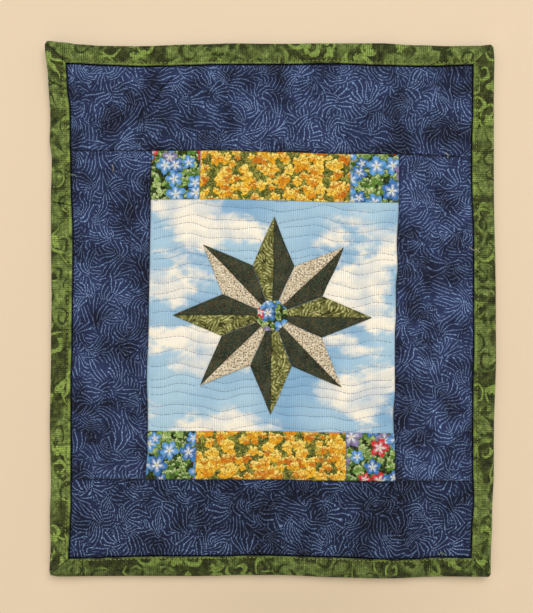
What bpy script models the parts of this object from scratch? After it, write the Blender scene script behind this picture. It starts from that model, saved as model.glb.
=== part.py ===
"""Quilted wall hanging: a quilted centre panel, four border strips and a bound edge.

Metres, +Z up. The front faces -Y and +X is to the right. The origin is the middle of the top edge, on
the plane that lies against the wall. Columns and rows are counted in guide lines: 0 is the folded
outer edge, 1 the binding's inner edge, 2 and 3 the seams round the centre panel, 4 and 5 the binding
again. Every piece is laid out on the same columns and rows, so that they lie on each other.
"""

import math
from collections import namedtuple

import bmesh
import bpy

MM = 0.001

# Driving dimensions.
CLOTH = 1.0 * MM  # thickness of a top sheet and of the binding
PIECE_GAP = 0.32 * MM  # between pieces that lie on each other
SEAM_GAP = 0.5 * MM  # between sheets that meet at a seam
BINDING_SLACK = 0.12 * MM  # extra room inside the binding
PAD_RIM = 1.5 * MM  # the padded back where the binding squeezes it
PAD_RECESS = CLOTH + PIECE_GAP + BINDING_SLACK  # the binding's rear leg lies behind the padded back
PAD_LOFT = 0.75 * MM  # how far a crown stands above the seams
CHANNEL_DEPTH = 0.7  # share of the loft that a line of quilting takes away
CHANNELS = 16  # quilted channels down the centre panel
PANEL_COLUMNS = 10
WAVE = 1.6 * MM  # sideways wander of the quilting lines
WAVE_LENGTH = 64 * MM
WAVE_DRIFT = 9.0  # radians that the wave moves on from the top line to the bottom one
FOLD_DEPTH = 2.0 * MM  # the rounded fold at the outer edge
EDGE_INSET = 2.5 * MM  # raw edges inside the binding, from the fold
LEG_SHORT = 0.5 * MM  # the binding's legs stop this far from their guide line
BINDING_CROWN = 0.25 * MM  # the front leg is a little rounded
PLACE_ROUNDS = 4  # column and row lines lean, so their crossing is found in rounds
FOLD = 5  # the last guide line, at the fold on the right and at the bottom

Guide = namedtuple("Guide", "at wander")
Spot = namedtuple("Spot", "x z reach lift")

# Each guide line lies at a distance in mm and wanders by (mm along it, mm off it).
# Lines that run down: their stations are measured down from the top edge, to the right is positive.
DOWN = (
    Guide(-136.8, ((2, -3.1), (22, -1.2), (47, -0.2), (59, -0.7), (72, 0.6), (98, 0.0),
                   (158, 0.6), (189, 0.1), (238, -0.6), (270, 0.0), (293, -0.6), (310, 0.0), (328, -0.6))),
    Guide(-124.4, ((13, -2.5), (29, -1.8), (41, -0.6), (59, -0.5), (84, 0.0), (121, 1.2), (136, 1.2),
                   (189, 0.6), (207, 0.0), (287, 0.0), (300, -0.6), (316, -1.2))),
    Guide(-76.2, ((66, 1.9), (96, 1.0), (133, 0.4), (170, -0.2), (207, -1.4), (225, -0.8), (247, -0.8),
                  (269, -2.0))),
    Guide(76.4, ((66, 1.8), (99, 1.8), (124, 0.6), (138, 1.0), (150, 0.0), (168, 0.0), (178, -0.6),
                 (215, -0.6), (228, -1.6), (257, -0.6), (269, -0.5))),
    Guide(123.8, ((13, 0.0), (41, 0.0), (60, -0.6), (84, -0.6), (121, 0.6), (189, 0.6), (207, 0.0),
                  (262, 0.0), (281, 0.6), (300, -0.6), (316, -1.2))),
    Guide(136.8, ((0, -0.8), (10, 0.0), (84, 0.0), (158, 1.2), (189, 1.2), (238, 0.0), (263, 0.0),
                  (293, -1.2), (318, -2.3), (328, -2.4))),
)
# Lines that run across: their stations are measured from the middle, upwards is positive.
ACROSS = (
    Guide(0.0, ((-137, 1.0), (-130, 0.3), (-118, -0.9), (-106, -1.5), (-87, -1.5), (-44, -0.3), (-26, 0.3),
                (0, 0.0), (30, 0.3), (66, 0.3), (91, -0.9), (110, -1.5), (128, -1.5), (135, -0.9))),
    Guide(-13.1, ((-124, 0.6), (-103, -0.2), (-78, -0.8), (-54, -0.2), (-35, 0.4), (2, 0.4), (39, 0.9),
                  (70, -0.2), (94, -0.8), (124, 0.0))),
    Guide(-66.9, ((-124, 0.7), (-75, 0.7), (-30, 0.9), (0, 0.0), (45, -1.2), (74, -1.3), (124, -3.0))),
    Guide(-269.5, ((-124, 0.6), (0, 0.6), (30, 0.0), (74, -0.6), (124, -0.6))),
    Guide(-316.9, ((-121, -0.6), (-72, 0.6), (-35, 0.6), (-10, 1.2), (39, 0.0), (75, -1.3), (88, -1.2),
                   (100, 0.0), (124, 0.0))),
    Guide(-328.6, ((-137, 1.2), (-132, 0.0), (-44, 0.0), (-20, 0.6), (5, 0.6), (36, -0.6), (72, -1.2),
                   (110, 0.0), (135, 0.0))),
)
# Where the edge curls off the wall: the middle of each place, how far it reaches and how high it lifts.
CURLS = (
    Spot(-140, 2, 60, 2.6),
    Spot(138, 1, 40, 1.6),
    Spot(136, -330, 50, 1.8),
    Spot(-138, -329, 38, 1.2),
    Spot(-140, -150, 46, 0.9),
    Spot(60, -334, 44, 1.2),
    Spot(141, -205, 44, 1.0),
)
# Swell of the wadding against the column or row: nothing under the binding and at the seams.
SWELL = ((1.0, 0.0), (1.1, 0.55), (1.5, 1.0), (1.9, 0.6), (2.0, 0.0), (2.06, 0.8), (2.12, 1.0), (2.88, 1.0),
         (2.94, 0.8), (3.0, 0.0), (3.1, 0.6), (3.5, 1.0), (3.9, 0.55), (4.0, 0.0))
RIM = ((1.0, 0.0), (1.1, 1.0), (3.9, 1.0), (4.0, 0.0))

STRIP_STEPS = (0.1, 0.5, 0.9)
STRIP_BEFORE = tuple(1 + step for step in STRIP_STEPS)
STRIP_AFTER = tuple(3 + step for step in STRIP_STEPS)
PANEL_ACROSS = tuple(2 + i / PANEL_COLUMNS for i in range(PANEL_COLUMNS + 1))
PANEL_DOWN = tuple(2 + i / (2 * CHANNELS) for i in range(2 * CHANNELS + 1))
ALL_ACROSS = (0, 1, *STRIP_BEFORE, *PANEL_ACROSS, *STRIP_AFTER, 4, FOLD)
ALL_DOWN = (0, 1, *STRIP_BEFORE, *PANEL_DOWN, *STRIP_AFTER, 4, FOLD)

COLOURS = {
    "navy_cotton": (0.030, 0.048, 0.105),
    "green_cotton": (0.075, 0.115, 0.028),
    "panel_cotton": (0.42, 0.55, 0.64),
    "backing_cotton": (0.52, 0.46, 0.36),
}


def read(table, at):
    """The value of a table of (place, value) rows at a place, eased from row to row."""
    if at <= table[0][0]:
        return table[0][1]
    for (start, before), (end, after) in zip(table, table[1:]):
        if at <= end:
            share = (at - start) / (end - start)
            return before + (after - before) * share * share * (3 - 2 * share)
    return table[-1][1]


def on_guide(guide, station):
    return MM * (guide.at + read(guide.wander, station / MM))


def between(guides, count, station):
    """Where the line that is `count` guide lines along crosses the given station."""
    first = min(int(count), len(guides) - 2)
    share = count - first
    return on_guide(guides[first], station) * (1 - share) + on_guide(guides[first + 1], station) * share


def wave(column, row, x):
    """How far a quilting line wanders up or down, nothing at the seams above and below it."""
    fade = max(0.0, min(1.0, column - 1, 4 - column)) * math.sin(math.pi * (row - 2)) ** 0.5
    turn = 2 * math.pi * x / WAVE_LENGTH + WAVE_DRIFT * row
    return WAVE * fade * (math.sin(turn) + 0.4 * math.sin(2.3 * turn + 1.0))


def place(column, row):
    """The point (x, z) at a column and row."""
    x = 0.0
    z = MM * ACROSS[min(round(row), FOLD)].at
    for _ in range(PLACE_ROUNDS):
        x = between(DOWN, column, -z)
        z = between(ACROSS, row, x)
    if 2 < row < 3:
        z += wave(column, row, x)
    return x, z


def curl(x, z):
    """How far the cloth stands off the wall here."""
    total = 0.0
    for spot in CURLS:
        away = math.hypot(x - spot.x * MM, z - spot.z * MM) / (spot.reach * MM)
        if away < 1:
            total += spot.lift * MM * (1 - away * away) ** 2
    return total


def loft(column, row):
    """Share of the full loft: smooth in the strips, channelled in the centre panel."""
    if not 2 <= row <= 3:
        return min(read(SWELL, row), read(RIM, column))
    swell = min(read(SWELL, row), read(SWELL, column))
    if not 2 <= column <= 3:
        return swell
    crown = abs(math.sin(math.pi * CHANNELS * (row - 2)))
    return swell * (1 - CHANNEL_DEPTH + CHANNEL_DEPTH * crown)


def pad_front(column, row):
    return PAD_RECESS + PAD_RIM + PAD_LOFT * loft(column, row)


def pad_rear(column, row):
    return PAD_RECESS * (1 - min(read(RIM, column), read(RIM, row)))


def top_rear(column, row):
    return pad_front(column, row) + PIECE_GAP


def side_of_fold(count):
    """+1 on the first guide line and -1 on the last one, where raw edges lie inside the binding."""
    return (count == 0) - (count == FOLD)


def laid(column, row, off_wall, trim=(0, 0)):
    """A point of a piece: trim moves it right and up, and raw edges stay inside the binding."""
    x, z = place(column, row)
    x += trim[0] + EDGE_INSET * side_of_fold(column)
    z += trim[1] - EDGE_INSET * side_of_fold(row)
    return x, -off_wall(column, row) - curl(x, z), z


def grid(columns, rows, point):
    """A rectangular net of faces, with point(column number, row number) giving each vertex."""
    mesh = bmesh.new()
    steps = len(columns) - 1, len(rows) - 1
    bmesh.ops.create_grid(mesh, x_segments=steps[0], y_segments=steps[1], size=0.5)
    for vertex in mesh.verts:
        across = round((vertex.co.x + 0.5) * steps[0])
        down = round((0.5 - vertex.co.y) * steps[1])
        vertex.co = point(across, down)
    return mesh


def material(name):
    shade = bpy.data.materials.get(name) or bpy.data.materials.new(name)
    shade.use_nodes = True
    shader = shade.node_tree.nodes["Principled BSDF"]
    shader.inputs["Base Color"].default_value = (*COLOURS[name], 1)
    shader.inputs["Roughness"].default_value = 0.9
    shader.inputs["Metallic"].default_value = 0.0
    return shade


def add(name, mesh, shade, collection):
    data = bpy.data.meshes.new(name)
    mesh.to_mesh(data)
    mesh.free()
    data.shade_smooth()
    piece = bpy.data.objects.new(name, data)
    data.materials.append(material(shade))
    collection.objects.link(piece)
    return piece


def thicken(piece, side):
    """Gives a sheet its thickness on the side that its faces look to (1) or away from it (-1)."""
    shell = piece.modifiers.new("thickness", "SOLIDIFY")
    shell.thickness = CLOTH
    shell.offset = side
    shell.use_even_offset = True


def top_sheet(name, columns, rows, shade, collection):
    """One piece of the quilt top, trimmed by half the gap along its seams."""
    half = SEAM_GAP / 2

    def point(across, down):
        column = columns[across]
        row = rows[down]
        right = half * ((across == 0) - (across == len(columns) - 1)) if 0 < column < FOLD else 0
        up = half * ((down == len(rows) - 1) - (down == 0)) if 0 < row < FOLD else 0
        return laid(column, row, top_rear, (right, up))

    piece = add(name, grid(columns, rows, point), shade, collection)
    thicken(piece, 1)
    return piece


def padded_back(collection):
    """The backing cloth with its wadding: one filled solid, flat where it lies against the wall."""
    columns = ALL_ACROSS
    rows = ALL_DOWN
    mesh = grid(columns, rows, lambda i, j: laid(columns[i], rows[j], pad_front))
    rear = grid(columns, rows, lambda i, j: laid(columns[i], rows[j], pad_rear))
    bmesh.ops.reverse_faces(rear, faces=rear.faces)
    rear_data = bpy.data.meshes.new("rear")
    rear.to_mesh(rear_data)
    rear.free()
    mesh.from_mesh(rear_data)
    bpy.data.meshes.remove(rear_data)
    rims = [edge for edge in mesh.edges if edge.is_boundary]
    bmesh.ops.bridge_loops(mesh, edges=rims)
    bmesh.ops.recalc_face_normals(mesh, faces=mesh.faces)
    return add("padded_back", mesh, "backing_cotton", collection)


def ring_stations():
    """(column, row) pairs once round the edge, clockwise from the top left corner."""
    across = ALL_ACROSS[2:-2]
    down = (*STRIP_BEFORE, *PANEL_DOWN[::2], *STRIP_AFTER)
    top = [(0, 0)] + [(column, 0) for column in across]
    right = [(FOLD, 0)] + [(FOLD, row) for row in down]
    bottom = [(FOLD, FOLD)] + [(column, FOLD) for column in reversed(across)]
    left = [(0, FOLD)] + [(0, row) for row in reversed(down)]
    return top + right + bottom + left


def binding_section():
    """(share of the way from the fold to the inner edge, fold depth, distance off the wall) rows."""
    front = PAD_RECESS + PAD_RIM + 2 * PIECE_GAP + BINDING_SLACK + 2 * CLOTH
    rows = [(1.0, 0.0, front), (0.55, 0.0, front + BINDING_CROWN), (0.0, FOLD_DEPTH, front)]
    for angle in (math.pi / 4, math.pi / 2, 3 * math.pi / 4):
        off = front / 2 * (1 + math.cos(angle))
        rows.append((0.0, FOLD_DEPTH * (1 - math.sin(angle)), off))
    rows += [(0.0, FOLD_DEPTH, 0.0), (0.55, 0.0, 0.0), (1.0, 0.0, 0.0)]
    return rows


def binding_point(station, share, fold, off_wall):
    """A point of the binding's outer surface."""
    column, row = station
    inner = min(max(column, 1), 4), min(max(row, 1), 4)
    outer_x, outer_z = place(column, row)
    inner_x, inner_z = place(*inner)
    reach = math.hypot(inner_x - outer_x, inner_z - outer_z)
    corner = column in (0, FOLD) and row in (0, FOLD)
    stretch = math.sqrt(2) if corner else 1.0
    way = share * (reach - LEG_SHORT * stretch) / reach + (0 if share else fold * stretch / reach)
    x = outer_x + (inner_x - outer_x) * way
    z = outer_z + (inner_z - outer_z) * way
    lift = curl(outer_x, outer_z) * (1 - way) + curl(inner_x, inner_z) * way
    return x, -off_wall - lift, z


def binding(collection):
    """One strip folded over the edge all the way round, with mitred corners."""
    stations = ring_stations()
    section = binding_section()
    mesh = bmesh.new()
    rings = []
    for station in stations:
        rings.append([mesh.verts.new(binding_point(station, *row)) for row in section])
    for ring, following in zip(rings, rings[1:] + rings[:1]):
        for i in range(len(section) - 1):
            mesh.faces.new((ring[i], following[i], following[i + 1], ring[i + 1]))
    mesh.normal_update()
    piece = add("binding", mesh, "green_cotton", collection)
    thicken(piece, -1)
    return piece


def main():
    for item in list(bpy.data.objects):
        bpy.data.objects.remove(item)
    hanging = bpy.data.collections.new("quilted_wall_hanging")
    bpy.context.scene.collection.children.link(hanging)
    padded_back(hanging)
    top_sheet("centre_panel", PANEL_ACROSS, PANEL_DOWN, "panel_cotton", hanging)
    top_sheet("border_top", ALL_ACROSS, (0, 1, *STRIP_BEFORE, 2), "navy_cotton", hanging)
    top_sheet("border_bottom", ALL_ACROSS, (3, *STRIP_AFTER, 4, FOLD), "navy_cotton", hanging)
    top_sheet("border_left", (0, 1, *STRIP_BEFORE, 2), PANEL_DOWN, "navy_cotton", hanging)
    top_sheet("border_right", (3, *STRIP_AFTER, 4, FOLD), PANEL_DOWN, "navy_cotton", hanging)
    binding(hanging)


main()
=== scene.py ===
"""Looks of the quilted wall hanging: printed cottons, quilting, patches, binding and thread.

Lengths are in millimetres until a mesh is made, and `off` is a distance off the wall, towards the viewer.
Columns and rows are counted in guide lines, as in the solids: 0 and 5 are the folded edges, 1 and 4 the
binding's inner edges, 2 and 3 the seams round the centre panel.
"""

import math
from collections import namedtuple
from functools import partial

import bpy
import numpy as np
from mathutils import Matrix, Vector, geometry


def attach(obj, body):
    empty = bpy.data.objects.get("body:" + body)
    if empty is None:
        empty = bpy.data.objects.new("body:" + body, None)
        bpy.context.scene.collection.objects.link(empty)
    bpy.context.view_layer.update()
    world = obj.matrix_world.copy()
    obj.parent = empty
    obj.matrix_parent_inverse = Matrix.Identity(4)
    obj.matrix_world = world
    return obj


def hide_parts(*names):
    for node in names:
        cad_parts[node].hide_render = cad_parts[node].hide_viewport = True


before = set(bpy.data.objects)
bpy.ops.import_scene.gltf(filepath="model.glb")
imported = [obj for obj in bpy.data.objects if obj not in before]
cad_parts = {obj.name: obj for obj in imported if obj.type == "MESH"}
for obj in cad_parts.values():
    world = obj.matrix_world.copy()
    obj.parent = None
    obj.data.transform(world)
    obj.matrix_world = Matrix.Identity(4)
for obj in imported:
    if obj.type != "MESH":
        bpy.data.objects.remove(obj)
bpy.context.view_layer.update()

MM = 0.001
FOLD = 5  # the last guide line

# ---- Layout ----

Guide = namedtuple("Guide", "at wander")
Spot = namedtuple("Spot", "x z reach lift")

# The same guide lines as the solids are laid out on: (mm along the line, mm off it).
DOWN = (
    Guide(-136.8, ((2, -3.1), (22, -1.2), (47, -0.2), (59, -0.7), (72, 0.6), (98, 0.0), (158, 0.6),
                   (189, 0.1), (238, -0.6), (270, 0.0), (293, -0.6), (310, 0.0), (328, -0.6))),
    Guide(-124.4, ((13, -2.5), (29, -1.8), (41, -0.6), (59, -0.5), (84, 0.0), (121, 1.2), (136, 1.2),
                   (189, 0.6), (207, 0.0), (287, 0.0), (300, -0.6), (316, -1.2))),
    Guide(-76.2, ((66, 1.9), (96, 1.0), (133, 0.4), (170, -0.2), (207, -1.4), (225, -0.8), (247, -0.8),
                  (269, -2.0))),
    Guide(76.4, ((66, 1.8), (99, 1.8), (124, 0.6), (138, 1.0), (150, 0.0), (168, 0.0), (178, -0.6),
                 (215, -0.6), (228, -1.6), (257, -0.6), (269, -0.5))),
    Guide(123.8, ((13, 0.0), (41, 0.0), (60, -0.6), (84, -0.6), (121, 0.6), (189, 0.6), (207, 0.0),
                  (262, 0.0), (281, 0.6), (300, -0.6), (316, -1.2))),
    Guide(136.8, ((0, -0.8), (10, 0.0), (84, 0.0), (158, 1.2), (189, 1.2), (238, 0.0), (263, 0.0),
                  (293, -1.2), (318, -2.3), (328, -2.4))),
)
ACROSS = (
    Guide(0.0, ((-137, 1.0), (-130, 0.3), (-118, -0.9), (-106, -1.5), (-87, -1.5), (-44, -0.3), (-26, 0.3),
                (0, 0.0), (30, 0.3), (66, 0.3), (91, -0.9), (110, -1.5), (128, -1.5), (135, -0.9))),
    Guide(-13.1, ((-124, 0.6), (-103, -0.2), (-78, -0.8), (-54, -0.2), (-35, 0.4), (2, 0.4), (39, 0.9),
                  (70, -0.2), (94, -0.8), (124, 0.0))),
    Guide(-66.9, ((-124, 0.7), (-75, 0.7), (-30, 0.9), (0, 0.0), (45, -1.2), (74, -1.3), (124, -3.0))),
    Guide(-269.5, ((-124, 0.6), (0, 0.6), (30, 0.0), (74, -0.6), (124, -0.6))),
    Guide(-316.9, ((-121, -0.6), (-72, 0.6), (-35, 0.6), (-10, 1.2), (39, 0.0), (75, -1.3), (88, -1.2),
                   (100, 0.0), (124, 0.0))),
    Guide(-328.6, ((-137, 1.2), (-132, 0.0), (-44, 0.0), (-20, 0.6), (5, 0.6), (36, -0.6), (72, -1.2),
                   (110, 0.0), (135, 0.0))),
)
# Where the cloth stands off the wall: mostly at its corners.
CURLS = (
    Spot(-140, 2, 60, 2.6),
    Spot(138, 1, 40, 1.6),
    Spot(136, -330, 50, 1.8),
    Spot(-138, -329, 38, 1.2),
    Spot(-140, -150, 46, 0.9),
    Spot(60, -334, 44, 1.2),
    Spot(141, -205, 44, 1.0),
)
# Distance of each guide line from the first one.
WIDE = np.array([guide.at - DOWN[0].at for guide in DOWN])
TALL = np.array([ACROSS[0].at - guide.at for guide in ACROSS])
PANEL_WIDTH = WIDE[3] - WIDE[2]
PANEL_HEIGHT = TALL[3] - TALL[2]


def read(table, at):
    """The values of a table of (place, value) rows, eased from row to row."""
    places, values = np.array(table, float).T
    after = np.clip(np.searchsorted(places, at), 1, len(places) - 1)
    share = np.clip((at - places[after - 1]) / (places[after] - places[after - 1]), 0, 1)
    share = share * share * (3 - 2 * share)
    return values[after - 1] + (values[after] - values[after - 1]) * share


def on_guide(guide, station):
    return guide.at + read(guide.wander, station)


def between(guides, count, station):
    lines = np.stack([on_guide(guide, station) for guide in guides])
    first = np.clip(np.floor(count).astype(int), 0, FOLD - 1)
    share = count - first
    before = np.take_along_axis(lines, first[None], 0)[0]
    after = np.take_along_axis(lines, first[None] + 1, 0)[0]
    return before * (1 - share) + after * share


def place(column, row):
    """The points (x, z) at arrays of columns and rows."""
    column, row = np.broadcast_arrays(np.asarray(column, float), np.asarray(row, float))
    x = np.zeros(column.shape)
    z = np.interp(row, range(FOLD + 1), -TALL)
    for _ in range(4):
        x = between(DOWN, column, -z)
        z = between(ACROSS, row, x)
    return x, z


def curl(x, z):
    """How far the cloth stands off the wall, towards its curled corners."""
    total = np.zeros(np.shape(x))
    for spot in CURLS:
        away = np.hypot(x - spot.x, z - spot.z) / spot.reach
        total += spot.lift * np.clip(1 - away * away, 0, 1) ** 2
    return total


def ripple(x, z, size, seed, terms=8):
    """Smooth unevenness, about -1 to 1, with features of the given size."""
    draw = np.random.default_rng(seed)
    total = np.zeros(np.shape(x))
    for _ in range(terms):
        angle, phase = draw.uniform(0, 2 * math.pi, 2)
        pitch = size * draw.uniform(0.9, 2.4)
        total += np.sin((x * math.cos(angle) + z * math.sin(angle)) * 2 * math.pi / pitch + phase)
    return total / math.sqrt(terms)


def bell(away, width):
    """1 at 0, falling smoothly on both sides of it."""
    return np.exp(-(away / width) ** 2)


def fade(away, width):
    """1 at 0, falling steeply at first on both sides of it."""
    return np.exp(-np.abs(away) / width)


def near_path(x, z, points, width):
    """1 on the path through the points, falling to 0 within about twice the width."""
    nearest = np.full(np.shape(x), np.inf)
    for start, end in zip(np.array(points, float), np.array(points[1:], float)):
        run = end - start
        share = np.clip(((x - start[0]) * run[0] + (z - start[1]) * run[1]) / (run @ run), 0, 1)
        nearest = np.minimum(nearest, np.hypot(x - start[0] - share * run[0], z - start[1] - share * run[1]))
    return bell(nearest, width)


# ---- Relief ----

RIM_FRONT = 4.26  # the top's front where the binding covers it
RIM_REAR = 1.44  # the backing where the binding covers it
LOFT = 0.85  # how far the wadding lifts the front
BINDING_FRONT = 5.65
BINDING_SLOT = 2.3  # how deep the borders dip beside the binding

# Creases in the borders: the points each runs through, width and height.
Crease = namedtuple("Crease", "points width height")
SHARP_CREASE = Crease(((-83.3, -47.1), (-78.6, -40.3), (-71.7, -34.1), (-67.6, -26.6), (-61.6, -21.8)),
                      0.5, -1.3)
CREASES = (
    SHARP_CREASE,
    Crease(((-82, -43), (-56, -21)), 1.8, 0.3),
    Crease(((-104, -62), (-92, -40)), 1.2, -0.35),
    Crease(((98, -40), (118, -22)), 1.6, -0.4),
    Crease(((-118, -150), (-84, -141)), 2.4, -0.2),
    Crease(((88, -214), (120, -223)), 2.4, -0.22),
    Crease(((-30, -292), (6, -280)), 2.6, -0.2),
    Crease(((40, -300), (70, -289)), 2.4, 0.2),
)


def distance_inside(across, down, left, top, right, bottom):
    """Distance inside a rectangle of guide distances, negative outside it."""
    return np.minimum(np.minimum(across - left, right - across), np.minimum(down - top, bottom - down))


def inside_binding(across, down):
    return distance_inside(across, down, WIDE[1], TALL[1], WIDE[4], TALL[4])


def from_seams(across, down, beside_panel):
    """Distance from the nearest seam; the seams at the panel's sides end at the cross seams."""
    to_sides = np.minimum(np.abs(across - WIDE[2]), np.abs(across - WIDE[3]))
    to_ends = np.minimum(np.abs(down - TALL[2]), np.abs(down - TALL[3]))
    return np.where(beside_panel, np.minimum(to_sides, to_ends), to_ends)


def swell(distance, soft):
    return 1 - fade(distance, soft)


def ditch(distance):
    """How far a seamed edge is drawn down."""
    return 1.15 * fade(distance, 0.4)


def unevenness(x, z):
    return 0.16 * ripple(x, z, 26, 3) + 0.07 * ripple(x, z, 9, 4)


def border_front(column, row, x, z):
    """The front of the strips, drawn in at seams and binding, and how much painted shade each point gets in a
    crease, a seam or the slot by the binding.
    """
    across = np.interp(column, range(FOLD + 1), WIDE)
    down = np.interp(row, range(FOLD + 1), TALL)
    edge = inside_binding(across, down)
    loft = swell(np.clip(edge, 0, None), 5.0)
    by_binding = bell(edge - 0.15, 0.5)
    seam = from_seams(across, down, (row > 2 - 1e-6) & (row < 3 + 1e-6))
    loft = loft * swell(seam, 2.6)
    off = RIM_FRONT + LOFT * loft - np.maximum(ditch(seam), BINDING_SLOT * by_binding)
    off += unevenness(x, z) * np.clip(edge / 6, 0, 1)
    for crease in CREASES:
        off += crease.height * near_path(x, z, crease.points, crease.width)
    sharp = near_path(x, z, SHARP_CREASE.points, SHARP_CREASE.width)
    # the second value is painted shade for the colour: in the slot by the binding, the sharp crease and the
    # seams
    return off, np.maximum(np.maximum(by_binding, sharp), 0.7 * fade(seam, 0.3))


QUILT_PITCH = 6.5  # about how far apart the quilting lines run
QUILT_WAVES = ((1.5, 11.5), (1.1, 6.3), (0.45, 3.1))  # heights and lengths of the waves in one line
QUILT_MARGIN = 1.8
LINE_SEED = 12


def quilting_lines(across):
    """How far down the panel each quilting line runs, at distances across it: an array of line by place."""
    draw = np.random.default_rng(LINE_SEED)
    lines = []
    depth = 3.2
    turn = np.array([0.4, 1.9, 3.0])
    while depth < PANEL_HEIGHT - 3:
        wander = sum(height * np.sin(across / size + at) for (height, size), at in zip(QUILT_WAVES, turn))
        lines.append(depth + wander)
        depth += QUILT_PITCH + draw.uniform(-2.0, 2.4)
        turn += draw.uniform(-0.75, 0.75, 3)
    lines = np.sort(np.stack(lines), 0)
    return np.clip(lines, QUILT_MARGIN, PANEL_HEIGHT - QUILT_MARGIN)


def channel(across, down):
    """0 on a quilting line and up to 1 between two, the wider apart the higher."""
    shape = np.shape(across)
    across, down = np.ravel(across), np.ravel(down)
    lines = quilting_lines(across)
    rim = np.zeros((1, across.size))
    lines = np.concatenate([rim, lines, rim + PANEL_HEIGHT])
    after = np.clip((lines < down).sum(0), 1, len(lines) - 1)
    spots = np.arange(across.size)
    above, below = lines[after - 1, spots], lines[after, spots]
    width = np.maximum(below - above, 0.3)
    share = np.clip((down - above) / width, 0, 1)
    crown = np.sin(math.pi * share) ** 0.8
    return (crown * np.clip(width / 8, 0, 1.15)).reshape(shape)


# ---- Patches of the centre panel, in mm across and down it ----

RAIL = 30.0  # height of the end rails and side of the corner squares
STAR_TIP = 62.0
STAR_CENTRE = (PANEL_WIDTH / 2, PANEL_HEIGHT / 2)
STAR_SIDE = STAR_TIP / (2 * math.cos(math.pi / 8))
MIDDLE_RADIUS = 10.0
PATCH_LIFT = 0.42
PATCH_SEW_IN = 1.1  # how far inside its edge a patch is sewn down


def star_spot(eighths, radius):
    angle = eighths * math.pi / 4
    return STAR_CENTRE[0] + radius * math.sin(angle), STAR_CENTRE[1] - radius * math.cos(angle)


def star_facets(points, half):
    """The left (0) or right (1) halves of the given star points, each a triangle."""
    facets = []
    for i in points:
        side = star_spot(i - 0.5 + half, STAR_SIDE)
        facets.append((star_spot(0, 0), side, star_spot(i, STAR_TIP)))
    return facets


def rectangle(left, top, right, bottom):
    return ((left, top), (right, top), (right, bottom), (left, bottom))


PATCHES = {
    "star_dark": star_facets(range(0, 8), 1),
    "star_olive": star_facets(range(0, 8, 2), 0),
    "star_cream": star_facets(range(1, 8, 2), 0),
    "star_middle": [[star_spot(i + 0.5, MIDDLE_RADIUS) for i in range(8)]],
    "end_rails": [rectangle(RAIL, 0, PANEL_WIDTH - RAIL, RAIL),
                  rectangle(RAIL, PANEL_HEIGHT - RAIL, PANEL_WIDTH - RAIL, PANEL_HEIGHT)],
    "corner_squares": [rectangle(left, top, left + RAIL, top + RAIL)
                       for left in (0, PANEL_WIDTH - RAIL) for top in (0, PANEL_HEIGHT - RAIL)],
}


def depth_in(polygon, across, down):
    """Distance inside a convex polygon, negative outside it."""
    corners = np.array(polygon, float)
    centre = corners.mean(0)
    depth = np.full(np.shape(across), np.inf)
    for start, end in zip(corners, np.roll(corners, -1, 0)):
        run = (end - start) / np.hypot(*(end - start))
        normal = np.array([-run[1], run[0]])
        if normal @ (centre - start) < 0:
            normal = -normal
        depth = np.minimum(depth, (across - start[0]) * normal[0] + (down - start[1]) * normal[1])
    return depth


def patch_cover(across, down):
    """Distance inside the nearest patch, negative on the open ground."""
    cover = np.full(np.shape(across), -np.inf)
    for polygons in PATCHES.values():
        for polygon in polygons:
            cover = np.maximum(cover, depth_in(polygon, across, down))
    return cover


def on_open_ground(across, down):
    return patch_cover(across, down) < -0.6


def from_panel(across, down):
    return place(2 + np.asarray(across) / PANEL_WIDTH, 2 + np.asarray(down) / PANEL_HEIGHT)


def panel_swell(across, down):
    edge = distance_inside(across, down, 0, 0, PANEL_WIDTH, PANEL_HEIGHT)
    return swell(np.clip(edge, 0, None), 2.2), edge


def ground_front(across, down):
    """The front of the panel's ground cloth: channels where it is open, flat under the patches."""
    x, z = from_panel(across, down)
    loft, edge = panel_swell(across, down)
    open_ground = np.clip(-patch_cover(across, down) / 1.5, 0, 1)
    crown = channel(across, down) * open_ground + 0.55 * (1 - open_ground)
    off = RIM_FRONT + LOFT * loft * (0.15 + 1.0 * crown) - ditch(edge)
    return off + 0.6 * unevenness(x, z) * loft


def patch_front(polygon, raised, across, down):
    """The front of a patch, which is raised by so much over the others."""
    x, z = from_panel(across, down)
    loft, edge = panel_swell(across, down)
    depth = np.clip(depth_in(polygon, across, down), 0, None)
    off = raised + RIM_FRONT + LOFT * loft * 0.7 - ditch(edge) + PATCH_LIFT * swell(depth, 0.22)
    off += 0.42 * swell(depth, 2.4) + 0.06 * ripple(across, down, 7, 9) * np.clip(depth / 2, 0, 1)
    return off + 0.6 * unevenness(x, z) * loft


# ---- Shader building ----


class Wire:
    """One number in a material; arithmetic on it adds Math nodes."""

    def __init__(self, shade, socket):
        self.shade = shade
        self.socket = socket

    def __abs__(self):
        return self.shade.math("ABSOLUTE", self)


def operator(operation, flipped=False):
    def join(wire, other):
        values = (other, wire) if flipped else (wire, other)
        return wire.shade.math(operation, *values)

    return join


for sign, operation in (("add", "ADD"), ("sub", "SUBTRACT"), ("mul", "MULTIPLY"), ("truediv", "DIVIDE")):
    setattr(Wire, "__" + sign + "__", operator(operation))
    setattr(Wire, "__r" + sign + "__", operator(operation, flipped=True))


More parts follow.
